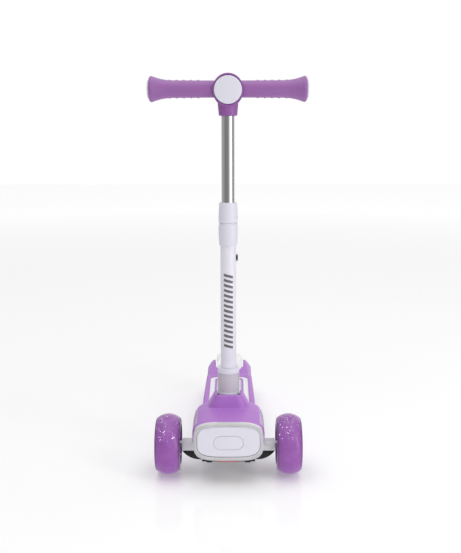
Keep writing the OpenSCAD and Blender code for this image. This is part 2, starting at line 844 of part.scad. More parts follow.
module led_board() {
    color("seagreen") from_axle() {
        difference() {
            face_slab(housing_w - 2 * housing_wall - 1, housing_h - 2 * housing_wall - 1, 0,
                      housing_back + housing_wall + board_t, housing_back + housing_wall);
            face_slab(ring_w - 40, ring_h - 34, 0, housing_back + 20, housing_back);
        }
        for (i = [0 : led_count - 1])
            let (p = superellipse((ring_w - 20) / 2, (ring_h - 18) / 2)[round(i * section_points / led_count)])
                translate([p[0] - 1.5, -housing_back - housing_wall - board_t - 1.5, ring_mid_h + p[1] - 1.5])
                    cube([3, 1.5, 3]);
    }
}

module lamp_housing() {
    color(black) from_axle() difference() {
        face_slab(housing_w, housing_h, 0, ring_back, housing_back);
        face_slab(housing_w - 2 * housing_wall, housing_h - 2 * housing_wall, 0,
                  ring_back + 1, housing_back + housing_wall);
    }
}

battery_w = 70;
battery_l = 46;
battery_h = 14;

module battery_box() {
    color(black) from_axle() translate([-battery_w / 2, -bracket_front + 5, plate_h0 + plate_t])
        cube([battery_w, battery_l, battery_h]);
}

pan_t = 3.2;
pan_w = 83;
pan_l = 18;
pan_stem_w = 40;
pan_top = ring_low + 0.5;

module belly_pan() {
    color(black) from_axle() {
        translate([0, pan_l / 2 - ring_back, pan_top - pan_t])
            linear_extrude(pan_t) round_rect(pan_w, pan_l, 6);
        translate([-pan_stem_w / 2, -housing_back, pan_top - pan_t]) cube([pan_stem_w, housing_wall, 26]);
    }
}

lens_w = 39;
lens_l = 6;
lens_t = 2.6;
foot_x = 35.7;
foot_w = 11;
foot_l = 8;
foot_t = 4;

module belly_lens() {
    color("firebrick") from_axle() translate([0, 2 + lens_l / 2 - ring_back, pan_top - pan_t - lens_t])
        linear_extrude(lens_t) round_rect(lens_w, lens_l, 2);
}

module nose_feet() {
    color(black) from_axle() for (e = [-1, 1])
        translate([e * foot_x, 2 + foot_l / 2 - ring_back, pan_top - pan_t - foot_t])
            linear_extrude(foot_t) round_rect(foot_w, foot_l, 2);
}

// ---- rear wheel and brake ----------------------------------------------

brake_arm_x = 42;
rear_nut_d = 14;
rear_nut_t = 5;
nut_sink = 6;

module rear_axle() {
    end = deck_tail_w / 2 - 0.5;
    color(steel) at_rear_axle() x_rod(axle_d, -end, end);
}

// The nuts sit in counterbores, so that nothing stands out beyond the fork
module rear_axle_nut() {
    color(steel) at_rear_axle() for (e = [-1, 1])
        translate([e * (deck_tail_w / 2 - nut_sink + rear_nut_t / 2), 0, 0]) along_x() difference() {
            cylinder(d = rear_nut_d, h = rear_nut_t, center = true, $fn = 6);
            cylinder(d = axle_d, h = rear_nut_t + 1, center = true);
        }
}

module rear_spacers() {
    color(steel) at_rear_axle() {
        for (e = [-1, 1])
            x_sleeve(spacer_d, axle_d, e > 0 ? rear_hub_w / 2 + side_gap : -fender_room_w / 2,
                     e > 0 ? fender_room_w / 2 : -rear_hub_w / 2 - side_gap);
        x_sleeve(spacer_d, axle_d, -rear_hub_w / 2 + bearing_w + side_gap,
                 rear_hub_w / 2 - bearing_w - side_gap);
    }
}

// Side view of the fender, about the rear axle
fender_front = fork_front + 4 - wheelbase;
fender_lip_h = 43;
flange_low = brake_pin_h - rear_axle_h - 6;
skirt_r = 47;
fender_edge_r = 7.5;
fender_rise_angle = 118;

module fender_outline(inset) {
    r = fender_r - inset;
    polygon(concat(
        [[0, flange_low - inset], [fender_front + inset, flange_low - inset],
         [fender_front + inset, fender_lip_h - 2 - inset], [fender_front + 2 + inset, fender_lip_h - inset]],
        [for (a = [fender_rise_angle : -4 : fender_tail_angle]) r * [cos(a), sin(a)]],
        [[0, 0]]
    ));
}

module brake_fender() {
    inner_w = fender_w - 2 * fender_wall;
    color(white) difference() {
        intersection() {
            at_rear_axle() across(fender_w) difference() {
                fender_outline(0);
                circle(skirt_r, $fn = 144);
            }
            from_axle() translate([0, fork_front + 4 + 100, 0])
                linear_extrude(FAR) round_rect(fender_w, 200, 18);
        }
        intersection() {
            at_rear_axle() across(inner_w) fender_outline(fender_wall);
            from_axle() translate([0, fork_front + 4 + fender_wall + 100, 0]) linear_extrude(FAR)
                round_rect(inner_w, 200, 18 - fender_wall);
        }
        from_axle() translate([0, brake_pin_back, brake_pin_h]) along_x()
            cylinder(d = brake_pin_d + 2 * run_fit, h = FAR, center = true);
        at_rear_axle() intersection() {
            along_x() rotate_extrude($fn = 144) for (e = [-1, 1]) fender_edge(e);
            translate([-FAR / 2, fender_r * cos(fender_rise_angle) + 1, 0]) cube(FAR);
        }
    }
}

// What three bevels take off the top's long edges: depth below the top, then in from the side
module fender_edge(e) {
    corner = fender_edge_r * [[-0.045, 1.17], [0.13, 0.5], [0.5, 0.13], [1.17, -0.045], [1.17, -0.4],
                              [-0.4, -0.4], [-0.4, 1.17]];
    polygon([for (c = corner) [fender_r - c[0], e * (fender_w / 2 - c[1])]]);
}

shoe_w = 28;
shoe_seat = 0.12;

// Stands a hair under the fender's inside, whose arc is drawn in short chords
module brake_shoe() {
    half_angle = 14;
    color(grey) at_rear_axle() across(shoe_w) intersection() {
        difference() {
            circle(fender_r - fender_wall - shoe_seat, $fn = 144);
            circle(rear_wheel_d / 2 + shoe_gap, $fn = 144);
        }
        polygon([[0, 0], FAR * [-sin(half_angle), cos(half_angle)], FAR * [sin(half_angle), cos(half_angle)]]);
    }
}

module brake_pin() {
    color(steel) from_axle() translate([0, brake_pin_back, brake_pin_h])
        x_rod(brake_pin_d, -brake_arm_x, brake_arm_x);
}

// Wire wound along Z: a swept polyhedron with hexagonal section
module coil(r, wire_r, turns, l) {
    sides = 6;
    steps = 12;
    n = turns * steps;
    points = [for (i = [0 : n], k = [0 : sides - 1])
        let (a = 360 * i / steps, b = 360 * k / sides, q = r + wire_r * cos(b))
        [q * cos(a), q * sin(a), wire_r + (l - 2 * wire_r) * i / n + wire_r * sin(b)]];
    faces = concat(
        [[for (k = [0 : sides - 1]) k]],
        [for (i = [0 : n - 1], k = [0 : sides - 1])
            [i * sides + k, (i + 1) * sides + k, (i + 1) * sides + (k + 1) % sides, i * sides + (k + 1) % sides]],
        [[for (k = [sides - 1 : -1 : 0]) n * sides + k]]
    );
    polyhedron(points, faces);
}

module brake_spring() {
    color(steel) from_axle() translate([6, brake_pin_back, brake_pin_h])
        along_x() coil(brake_pin_d / 2 + 0.6, 0.5, 6, 14);
}

// ---- folding joint and stem --------------------------------------------

tube_floor = 12;
block_low = 4;
block_depth = 20;
button_t = 2.2;
button_recess = 1;
panel_mid = 28;
button_gap = 0.35;
spring_x = 17.3;
spring_well_d = 3.4;
spring_l = 7.6;

module fold_pin() {
    color(steel) from_axle() translate([0, pivot_back, pivot_h])
        x_rod(fold_pin_d, -knuckle_w / 2 - ear_gap - ear_t - 1.4, knuckle_w / 2 + ear_gap + ear_t + 1.4);
}

module fold_washers() {
    x0 = knuckle_w / 2 + ear_gap - 1;
    color(steel) from_axle() translate([0, pivot_back, pivot_h]) for (e = [-1, 1])
        x_sleeve(fold_pin_d + 5, fold_pin_d, e > 0 ? x0 : -x0 - 0.8, e > 0 ? x0 + 0.8 : -x0);
}

// Outline of the knuckle across the stem: round in front, square behind
module knuckle_plan(grow = 0, back = 0) {
    r = knuckle_w / 2 + grow;
    mid = knuckle_w / 2 - knuckle_front;
    translate([0, back]) {
        translate([0, mid]) circle(r);
        intersection() {
            translate([0, (block_depth + grow) / 2 - 5]) round_rect(2 * r, block_depth + grow + 10, 7);
            translate([-FAR, mid]) square(2 * FAR);
        }
    }
}

pocket_depth = button_t + fold_button_travel + button_recess;
lip_h = 6;
lip_grow = 0.4;

// The band between two copies of the outline, one behind the other, up to the button's width
module front_band(back0, back1, w, h) {
    translate([0, 0, panel_mid - h / 2]) linear_extrude(h) intersection() {
        difference() {
            knuckle_plan(0, back0);
            knuckle_plan(0, back1);
        }
        translate([-w / 2, -FAR]) square([w, FAR - 2]);
    }
}

module fold_knuckle() {
    edge = 2;
    color(white) on_stem() difference() {
        union() {
            intersection() {
                translate([0, 0, -block_depth])
                    linear_extrude(block_depth + knuckle_top - lip_h) knuckle_plan();
                union() {
                    translate([-FAR / 2, -FAR / 2, block_low]) cube(FAR);
                    along_x() cylinder(r = block_depth, h = knuckle_w + 2, center = true);
                }
            }
            translate([0, 0, knuckle_top - lip_h]) linear_extrude(lip_h - edge) knuckle_plan(lip_grow);
            translate([0, 0, knuckle_top - edge]) linear_extrude(edge / 2) knuckle_plan(lip_grow - 0.5);
            translate([0, 0, knuckle_top - edge / 2]) linear_extrude(edge / 2) knuckle_plan(lip_grow - 1.5);
        }
        translate([0, 0, tube_floor]) cylinder(d = outer_tube_d, h = knuckle_top);
        along_x() cylinder(d = fold_pin_d + 2 * run_fit, h = knuckle_w + 4, center = true);
        front_band(-1, pocket_depth, fold_button_w + 2 * button_gap, fold_button_h + 2 * button_gap);
        for (e = [-1, 1]) translate([e * spring_x, -pocket_depth - 3, panel_mid])
            rotate([-90, 0, 0]) cylinder(d = spring_well_d, h = pocket_depth + 7);
    }
}

module fold_button() {
    color(grey) on_stem() front_band(button_recess, button_recess + button_t, fold_button_w, fold_button_h);
}

module button_springs() {
    color(steel) on_stem() for (e = [-1, 1])
        translate([e * spring_x, 4 - spring_l, panel_mid]) rotate([-90, 0, 0]) coil(1.2, 0.35, 6, spring_l);
}

height_button_s = outer_tube_top - 64;
button_base_t = 0.6;
button_proud = 3;
button_r = outer_tube_d / 2;

module capsule_along_x(w, l, x0, x1) {
    translate([x0, 0, 0]) rotate([90, 0, 90]) linear_extrude(x1 - x0) round_rect(w, l, w / 2 - 0.01);
}

shank_w = height_button_w - 3;
shank_l = height_button_l - 5;

module outer_tube() {
    color(white) on_stem() difference() {
        translate([0, 0, tube_floor])
            tube(outer_tube_d, outer_tube_d - 2 * outer_wall, outer_tube_top - tube_floor);
        translate([0, 0, height_button_s])
            capsule_along_x(shank_w + 0.7, shank_l + 0.7, outer_tube_d / 4, outer_tube_d);
    }
}

module height_button() {
    cap_t = button_proud - button_base_t - height_button_travel - 0.2;
    color(black) on_stem(height_button_s) {
        capsule_along_x(height_button_w, height_button_l,
                        button_r + button_proud - cap_t, button_r + button_proud);
        capsule_along_x(shank_w, shank_l, button_r, button_r + button_proud - cap_t);
    }
}

// Flanged seat that guides the height button
module height_seat() {
    color(black) on_stem(height_button_s) difference() {
        capsule_along_x(height_button_w + 1, height_button_l + 1, button_r - 0.9, button_r + button_base_t);
        capsule_along_x(shank_w + 0.7, shank_l + 0.7, 0, FAR);
        cylinder(d = outer_tube_d, h = 60, center = true, $fn = 360);
    }
}

base_top = outer_tube_top - 1.3;
spigot_d = outer_tube_d + 2.4;
spigot_l = 24;
nut_s = base_top + clamp_groove;

module clamp_base() {
    r = clamp_d / 2;
    l = clamp_base_l;
    color(white) on_stem(base_top - l) difference() {
        union() {
            rotate_extrude() polygon([
                [0, 0], [r - 2.8, 0], [r - 1.5, 0.8], [r - 0.9, 2.4], [r, l * 0.55],
                [r, l - 1.2], [r - 0.8, l], [0, l]
            ]);
            cylinder(d = clamp_d - 2.4, h = l + clamp_groove - side_gap);
            cylinder(d = spigot_d, h = l + spigot_l);
        }
        translate([0, 0, -1]) cylinder(d = outer_tube_d, h = outer_tube_top - base_top + l + 1);
        cylinder(d = outer_tube_d - 2 * outer_wall, h = l + spigot_l + 1);
    }
}

module clamp_nut() {
    r = clamp_d / 2;
    l = clamp_nut_l;
    neck = spigot_l - clamp_groove + 2;
    color(white) on_stem(nut_s) difference() {
        rotate_extrude() polygon([
            [0, 0], [r - 0.8, 0], [r, 1], [r, l * 0.3], [r - 1.2, l - 3],
            [r - 1.6, l - 0.8], [r - 2.4, l], [0, l]
        ]);
        translate([0, 0, -1]) cylinder(d = spigot_d + 2 * side_gap, h = neck + 1);
        cylinder(d = inner_tube_d + 2 * side_gap, h = l + 1);
    }
}

module clamp_collet() {
    color(grey) on_stem(outer_tube_top)
        tube(outer_tube_d - 2 * outer_wall, inner_tube_d + 2 * run_fit,
             base_top + spigot_l - outer_tube_top - 2);
}

inner_bottom = tube_floor + height_travel + 8;
inner_top = bar_s - 16;
bush_l = 25;
bush_floor = 2;

module inner_tube() {
    step = height_travel / (height_steps - 1);
    color(steel) on_stem() difference() {
        translate([0, 0, inner_bottom])
            tube(inner_tube_d, inner_tube_d - 2 * inner_wall, inner_top - inner_bottom);
        for (i = [0 : height_steps - 1]) translate([0, 0, height_button_s + i * step])
            along_x() cylinder(d = shank_w + 2.4, h = inner_tube_d);
    }
}

module tube_bush() {
    color(grey) on_stem(inner_bottom - bush_floor) difference() {
        cylinder(d = outer_tube_d - 2 * outer_wall - 2 * run_fit, h = bush_l);
        translate([0, 0, bush_floor]) cylinder(d = inner_tube_d, h = bush_l);
        translate([0, 0, -1]) cylinder(d = inner_tube_d - 4 * inner_wall, h = bush_floor + 2);
    }
}

// ---- handlebar ----------------------------------------------------------

neck_l = 48;
neck_blend = 14;
neck_foot = bar_s - neck_l;
head_front = head_depth / 2;
disc_seat = 2;
disc_t = 4.5;
flare_power = 2.05;
rib_start = 48;
rib_r = 3.2;
rib_proud = 1.2;
rib_reach = 12;
cap_t = 3;
cap_d = flare_d - 13;

// The head's shapes are drawn as circles of its height, and narrowed to its width
module head_plate(h, from, to, drop = 0) {
    translate([0, 0, bar_s - bar_rise]) rotate([90, 0, 0]) translate([0, 0, from])
        scale([head_w / head_h, 1, 1]) cylinder(d1 = h, d2 = h - drop, h = to - from);
}

module bar_head() {
    color(purple) on_stem() difference() {
        union() {
            head_plate(head_h, -head_front, head_front);
            translate([0, 0, neck_foot]) cylinder(d1 = neck_foot_w, d2 = neck_w, h = neck_l - neck_blend);
        }
        translate([0, 0, neck_foot - 1]) cylinder(d = inner_tube_d, h = inner_top - neck_foot + 1);
        translate([0, 0, bar_s]) along_x() cylinder(d = bar_tube_d, h = head_w + 2, center = true);
        head_plate(disc_h, head_front - disc_seat, head_front + 1);
    }
}

module head_disc() {
    face = head_front - disc_seat + disc_t;
    color(white) on_stem() {
        head_plate(disc_h, head_front - disc_seat, face);
        head_plate(disc_h, face, face + 1.2, 4);
    }
}

module bar_tube() {
    half = bar_w / 2 - cap_t - 2;
    color(steel) on_stem(bar_s) x_sleeve(bar_tube_d, bar_tube_d - 3, -half, half);
}

// One grip: a sleeve that widens outwards, its flared end, and ribs that the fingers feel behind it
module grip(side) {
    waist = grip_waist_d / 2;
    r = grip_d / 2;
    x_end = bar_w / 2 - cap_t;
    x_peak = x_end - 5;
    x_flare = x_peak - flare_l;
    rise = flare_d / 2 - r;
    flare = [for (i = [0 : 10]) [r + rise * pow(i / 10, flare_power), x_flare + flare_l * i / 10]];
    rib_pitch = (x_peak - rib_start) / (grip_ribs + 2);
    difference() {
        on_stem(bar_s) mirror([side > 0 ? 0 : 1, 0, 0]) {
            along_x() rotate_extrude() polygon(concat(
                [[0, 10], [waist, 10]], flare,
                [for (a = [25, 50, 70, 85]) [flare_d / 2 - 5 * (1 - cos(a)), x_peak + 5 * sin(a)]],
                [[cap_d / 2, x_end], [0, x_end]]
            ));
            for (i = [0.5 : grip_ribs - 0.5]) translate([rib_start + i * rib_pitch, 0, 0])
                rotate([-rib_reach, 0, 0]) along_x() rotate_extrude(angle = 180 + 2 * rib_reach)
                    translate([waist + (r - waist) * i / grip_ribs - rib_r + rib_proud, 0]) circle(rib_r);
        }
        on_stem(bar_s) along_x() cylinder(d = bar_tube_d, h = FAR, center = true);
        on_stem() head_plate(head_h, -FAR, FAR);
    }
}

module left_grip() color(purple) grip(-1);
module right_grip() color(purple) grip(1);

module bar_caps() {
    color(white) on_stem(bar_s) for (e = [-1, 1]) mirror([e > 0 ? 0 : 1, 0, 0]) {
        x_rod(cap_d - 3, bar_w / 2 - cap_t, bar_w / 2);
        x_rod(cap_d, bar_w / 2 - cap_t, bar_w / 2 - 1.2);
        x_rod(bar_tube_d - 3, bar_w / 2 - cap_t - 14, bar_w / 2 - cap_t);
    }
}

deck_body();
under_tray();
tray_screws();
deck_trim();
deck_pad();
nose_cowl();
chassis_bracket();
bracket_bolts();
lamp_housing();
light_ring();
led_board();
face_plate();
badge();
battery_box();
belly_pan();
belly_lens();
nose_feet();
kingpin();
kingpin_nut();
steer_bushes();
fold_pin();
fold_washers();
axle_beam();
axle_cover();
front_axles();
front_axle_nuts();
front_spacers();
left_tyre();
left_hub();
left_bearings();
right_tyre();
right_hub();
right_bearings();
rear_tyre();
rear_hub();
rear_bearings();
rear_axle();
rear_axle_nut();
rear_spacers();
brake_fender();
brake_shoe();
brake_pin();
brake_spring();
fold_knuckle();
fold_button();
button_springs();
outer_tube();
clamp_base();
clamp_nut();
clamp_collet();
height_button();
height_seat();
inner_tube();
tube_bush();
bar_head();
head_disc();
bar_tube();
left_grip();
right_grip();
bar_caps();
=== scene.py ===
import bpy, math
from mathutils import Matrix, Vector


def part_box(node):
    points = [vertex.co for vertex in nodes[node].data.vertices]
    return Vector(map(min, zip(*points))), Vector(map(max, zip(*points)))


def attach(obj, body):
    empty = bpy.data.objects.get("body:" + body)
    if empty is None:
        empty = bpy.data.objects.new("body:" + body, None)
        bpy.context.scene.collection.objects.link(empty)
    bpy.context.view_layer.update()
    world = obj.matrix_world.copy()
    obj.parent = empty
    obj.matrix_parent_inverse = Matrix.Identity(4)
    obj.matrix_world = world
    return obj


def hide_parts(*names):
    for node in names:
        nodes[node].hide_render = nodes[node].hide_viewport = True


# Kick scooter for a young child: metres, +Z up, the rider faces -Y.
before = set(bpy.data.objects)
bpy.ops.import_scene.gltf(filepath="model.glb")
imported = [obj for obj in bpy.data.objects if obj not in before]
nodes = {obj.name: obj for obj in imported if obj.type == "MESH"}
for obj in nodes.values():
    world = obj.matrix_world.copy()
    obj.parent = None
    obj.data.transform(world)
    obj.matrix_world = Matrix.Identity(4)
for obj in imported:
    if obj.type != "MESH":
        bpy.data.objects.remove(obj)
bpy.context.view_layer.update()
mm = 0.001
scene = bpy.context.scene
scene.view_settings.view_transform = "Standard"


# ---- studio ----
# A white product studio: a sheet of coated paper with a painted glow that grows further out from
# the scooter, a large overhead softbox, a tall strip box on the right and a low card in front. What
# chrome sees in front is kept dark, so that it shows its bands.
def linear(hex_colour):
    parts = [int(hex_colour[i:i + 2], 16) / 255 for i in (1, 3, 5)]
    return (*[c / 12.92 if c <= 0.04045 else ((c + 0.055) / 1.055) ** 2.4 for c in parts], 1.0)


def node(tree, kind, values=None, links=None, stops=None, **settings):
    made = tree.nodes.new(kind)
    for name, value in settings.items():
        setattr(made, name, value)
    for name, value in (values or {}).items():
        made.inputs[name].default_value = value
    for name, (source, output) in (links or {}).items():
        tree.links.new(source.outputs[output], made.inputs[name])
    if stops:
        points = made.color_ramp.elements
        while len(points) < len(stops):
            points.new(0.5)
        for point, (place, value) in zip(points, stops):
            point.position = place
            point.color = linear(value) if isinstance(value, str) else (value, value, value, 1)
    return made


def centre(name):
    low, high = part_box(name)
    return (low + high) / 2


# A long lens from a metre and a half ahead, a little above the deck, tilted down 11 degrees.
axle_y = centre("front_axles").y
camera = bpy.data.objects.new("camera", bpy.data.cameras.new("camera"))
scene.collection.objects.link(camera)
camera.location = (8.9 * mm, axle_y - 1531 * mm, 689.4 * mm)
camera.rotation_euler = [math.radians(a) for a in (90 - 11.28, 0.1, 0.155)]
camera.data.lens = 850 / 553 * 36
camera.data.sensor_width = 36
camera.data.clip_start, camera.data.clip_end = 0.05, 50
scene.camera = camera

# What polished metal sees around it, from the left of the camera round to its right.
around = [(0.00, 1.0), (0.10, 0.62), (0.17, 0.38), (0.28, 0.34), (0.36, 0.20), (0.45, 0.22), (0.52, 0.26),
          (0.56, 0.60), (0.585, 1.15), (0.67, 1.1), (0.70, 0.40), (0.78, 0.24), (0.84, 0.60), (0.92, 1.0)]
world = bpy.data.worlds.new("studio")
scene.world = world
world.use_nodes = True
tree = world.node_tree
tree.nodes.clear()
path = node(tree, "ShaderNodeLightPath")
heading = node(tree, "ShaderNodeTexCoord")
direction = node(tree, "ShaderNodeSeparateXYZ", links={"Vector": (heading, "Generated")})
back = node(tree, "ShaderNodeMath", {1: -1.0}, {0: (direction, "Y")}, operation="MULTIPLY")
angle = node(tree, "ShaderNodeMath", links={0: (direction, "X"), 1: (back, 0)}, operation="ARCTAN2")
turn = node(tree, "ShaderNodeMapRange", {"From Min": -math.pi, "From Max": math.pi}, {"Value": (angle, 0)})
bands = node(tree, "ShaderNodeValToRGB", links={"Fac": (turn, "Result")}, stops=around)
overhead = node(tree, "ShaderNodeMapRange", {"From Min": 0.45, "From Max": 0.62}, {"Value": (direction, "Z")})
above = node(tree, "ShaderNodeMix", {7: (1, 1, 1, 1)}, {0: (overhead, "Result"), 6: (bands, "Color")},
             data_type="RGBA")
sinking = node(tree, "ShaderNodeMapRange", {"From Min": -0.25, "From Max": -0.32},
               {"Value": (direction, "Z")})
below = node(tree, "ShaderNodeMix", {7: linear("#d2d1d6")}, {0: (sinking, "Result"), 6: (above, 2)},
             data_type="RGBA")
fill = node(tree, "ShaderNodeBackground", {"Color": linear("#ffffff"), "Strength": 0.44})
seen = node(tree, "ShaderNodeBackground", {"Color": linear("#ffffff"), "Strength": 1.0})
mirrored = node(tree, "ShaderNodeBackground", {"Strength": 1.0}, {"Color": (below, 2)})
clear_ray = node(tree, "ShaderNodeMath", links={0: (path, "Is Camera Ray"), 1: (path, "Is Transmission Ray")},
                 operation="MAXIMUM")
lit = node(tree, "ShaderNodeMixShader", links={0: (path, "Is Glossy Ray"), 1: (fill, 0), 2: (mirrored, 0)})
mixed = node(tree, "ShaderNodeMixShader", links={0: (clear_ray, 0), 1: (lit, 0), 2: (seen, 0)})
node(tree, "ShaderNodeOutputWorld", links={"Surface": (mixed, 0)})


def softbox(name, place, aim, width, height, power, mirrored=True):
    lamp = bpy.data.lights.new(name, "AREA")
    lamp.shape, lamp.size, lamp.size_y, lamp.energy = "RECTANGLE", width, height, power
    holder = bpy.data.objects.new(name, lamp)
    scene.collection.objects.link(holder)
    holder.location = place
    holder.rotation_euler = (Vector(aim) - Vector(place)).to_track_quat("-Z", "Y").to_euler()
    holder.visible_glossy = mirrored


softbox("overhead_softbox", (0, -0.2, 2.4), (0, 0, 0), 2.6, 2.6, 27)
softbox("right_strip_box", (1.7, -1.3, 0.9), (0, -0.1, 0.35), 0.5, 1.8, 10)
softbox("low_front_card", (0.7, -2.6, 0.35), (0, -0.25, 0.08), 1.2, 0.6, 4.5, mirrored=False)


def fresh(name):
    made = bpy.data.materials.new(name)
    made.use_nodes = True
    made.node_tree.nodes.clear()
    return made, made.node_tree


bpy.ops.object.select_all(action="DESELECT")
bpy.ops.mesh.primitive_plane_add(size=12, location=(0, 0, 0))
floor = bpy.context.object
floor.name = "floor"
paper, tree = fresh("coated_paper_sweep")
sheet = node(tree, "ShaderNodeBsdfDiffuse", {"Color": linear("#f8f8f8")})
gloss = node(tree, "ShaderNodeBsdfAnisotropic", {"Color": linear("#f4f4f6"), "Roughness": 0.05})
coated = node(tree, "ShaderNodeMixShader", {0: 0.06}, {1: (sheet, 0), 2: (gloss, 0)})
# Painted light: the paper glows of itself, from 0.2 near the scooter to 0.52 four metres out.
spot = node(tree, "ShaderNodeTexCoord")
reach = node(tree, "ShaderNodeVectorMath", links={0: (spot, "Object")}, operation="LENGTH")
far = node(tree, "ShaderNodeMapRange", {"From Min": 0.5, "From Max": 4.0, "To Min": 0.2, "To Max": 0.52},
           {"Value": (reach, "Value")})
painted_floor_glow = node(tree, "ShaderNodeEmission", {"Color": linear("#ffffff")}, {"Strength": (far, 0)})
both = node(tree, "ShaderNodeAddShader", links={0: (coated, 0), 1: (painted_floor_glow, 0)})
node(tree, "ShaderNodeOutputMaterial", links={"Surface": (both, 0)})
floor.data.materials.append(paper)
floor.visible_glossy = False


# ---- front wheels ----
# Two wide wheels of cast polyurethane on spoked nylon hubs. The urethane is poured clear purple
# with fine glitter in it, in a two-part mould that leaves a seam round the middle of the tread.
def only(piece):
    bpy.ops.object.select_all(action="DESELECT")
    piece.select_set(True)
    bpy.context.view_layer.objects.active = piece


def finished(piece, kind, **settings):
    """Applies one modifier to a piece."""
    only(piece)
    modifier = piece.modifiers.new("shape", kind)
    for name, value in settings.items():
        setattr(modifier, name, value)
    bpy.ops.object.modifier_apply(modifier=modifier.name)
    return piece


def bevelled(piece, width, segments=3, angle=30):
    return finished(piece, "BEVEL", width=width, segments=segments, limit_method="ANGLE",
                    angle_limit=math.radians(angle), use_clamp_overlap=True)


def welded(node_name, name):
    """A copy of a CAD node with its loose triangles merged and its flat faces whole."""
    copy = nodes[node_name].copy()
    copy.data = nodes[node_name].data.copy()
    copy.name = copy.data.name = name
    scene.collection.objects.link(copy)
    copy.parent = None
    copy.matrix_world = Matrix.Identity(4)
    for key in list(copy.keys()):
        del copy[key]
    only(copy)
    if copy.data.has_custom_normals:
        bpy.ops.mesh.customdata_custom_splitnormals_clear()
    bpy.ops.object.mode_set(mode="EDIT")
    bpy.ops.mesh.select_all(action="SELECT")
    bpy.ops.mesh.remove_doubles(threshold=0.004 * mm)
    bpy.ops.mesh.dissolve_limited(angle_limit=math.radians(0.6))
    bpy.ops.object.mode_set(mode="OBJECT")
    return copy


def fit(piece, body, finish, slot, *replaced, crease=32):
    """Gives a piece its material and body, and hides the CAD nodes that it stands for. Its slot is not used.
    """
    piece.data.materials.clear()
    piece.data.materials.append(finish)
    only(piece)
    bpy.ops.object.shade_smooth_by_angle(angle=math.radians(crease))
    if replaced:
        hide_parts(*replaced)
    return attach(piece, body)


def dress(finish, *names):
    """Gives CAD nodes that keep their own mesh a material."""
    for name in names:
        nodes[name].data.materials.clear()
        nodes[name].data.materials.append(finish)


turned_steps = 128


def turned(name, profile, place):
    """Spins a profile of (radius, distance along X) about the X axis, then puts it in place."""
    bpy.ops.object.select_all(action="DESELECT")
    bpy.ops.mesh.primitive_plane_add(size=1 * mm)
    piece = bpy.context.object
    piece.name = name
    bpy.ops.object.mode_set(mode="EDIT")
    bpy.ops.mesh.merge(type="CENTER")
    bpy.ops.transform.translate(value=(profile[0][1], 0, profile[0][0]))
    for before, after in zip(profile, profile[1:]):
        bpy.ops.mesh.extrude_vertices_move(
            TRANSFORM_OT_translate={"value": (after[1] - before[1], 0, after[0] - before[0])})
    bpy.ops.mesh.select_all(action="SELECT")
    bpy.ops.mesh.spin(steps=turned_steps, angle=2 * math.pi, center=(0, 0, 0), axis=(1, 0, 0))
    bpy.ops.mesh.select_all(action="SELECT")
    bpy.ops.mesh.remove_doubles(threshold=0.004 * mm)
    bpy.ops.mesh.normals_make_consistent(inside=False)
    bpy.ops.object.mode_set(mode="OBJECT")
    piece.matrix_world = place
    only(piece)
    bpy.ops.object.transform_apply(location=True, rotation=True, scale=True)
    return piece


def grain(tree, size, strength, distance):
    """A bump of fine noise whose grains are of that size in metres."""
    place = node(tree, "ShaderNodeTexCoord")
    noise = node(tree, "ShaderNodeTexNoise", {"Scale": 1 / size, "Detail": 2.0},
                 {"Vector": (place, "Object")})
    bump = node(tree, "ShaderNodeBump", {"Strength": strength, "Distance": distance}, {"Height": (noise, 0)})
    return place, noise, bump


# Cast polyurethane: glossy and slightly see-through, with painted shade darkening the side walls.
# Mirror flakes lie nearly flat in it, drawn only where the surface faces upward as a painted glint
# of the overhead light. They are drawn 2.8 mm apart, coarser than real glitter, because finer
# flakes would not show.
urethane, tree = fresh("cast_polyurethane_with_glitter")
flake_pitch = 2.8 * mm
place, cloud, skin = grain(tree, 12 * mm, 0.12, 0.05 * mm)
depth = node(tree, "ShaderNodeValToRGB", links={"Fac": (cloud, 0)},
             stops=[(0.25, "#985bab"), (0.75, "#a265b5")])
# Painted shade: the more a side wall faces sideways, the nearer its colour comes to dark #4a2858.
outward = node(tree, "ShaderNodeSeparateXYZ", links={"Vector": (place, "Normal")})
painted_shade_side_facing = node(tree, "ShaderNodeMath", links={0: (outward, "X")}, operation="ABSOLUTE")
wall = node(tree, "ShaderNodeMapRange", {"From Min": 0.55, "From Max": 0.88}, {"Value": (painted_shade_side_facing, 0)})
tint = node(tree, "ShaderNodeMix", {7: linear("#4a2858")}, {0: (wall, "Result"), 6: (depth, "Color")},
            data_type="RGBA")
resin = node(tree, "ShaderNodeBsdfPrincipled",
             {"Roughness": 0.24, "Subsurface Weight": 0.15, "Subsurface Scale": 3 * mm, "Coat Weight": 0.5,
              "Coat Roughness": 0.04, "Coat IOR": 1.3, "Specular IOR Level": 0.2,
              "Subsurface Radius": (1.0, 0.6, 1.0)},
             {"Base Color": (tint, 2), "Normal": (skin, 0)})
cells = node(tree, "ShaderNodeTexVoronoi", {"Scale": 1 / flake_pitch}, {"Vector": (place, "Object")})
tilt = node(tree, "ShaderNodeVectorMath", {1: (0.5, 0.5, 0.5)}, {0: (cells, "Color")}, operation="SUBTRACT")
lean = node(tree, "ShaderNodeVectorMath", {3: 0.7}, {0: (tilt, 0)}, operation="SCALE")
surface = node(tree, "ShaderNodeNewGeometry")
leaning = node(tree, "ShaderNodeVectorMath", links={0: (surface, "Normal"), 1: (lean, 0)}, operation="ADD")
facing = node(tree, "ShaderNodeVectorMath", links={0: (leaning, 0)}, operation="NORMALIZE")
flake = node(tree, "ShaderNodeBsdfPrincipled",
             {"Base Color": linear("#f8f2fb"), "Metallic": 1.0, "Roughness": 0.1}, {"Normal": (facing, 0)})
near = node(tree, "ShaderNodeMath", {1: 0.24}, {0: (cells, "Distance")}, operation="LESS_THAN")
channel = node(tree, "ShaderNodeSeparateColor", links={"Color": (cells, "Color")})
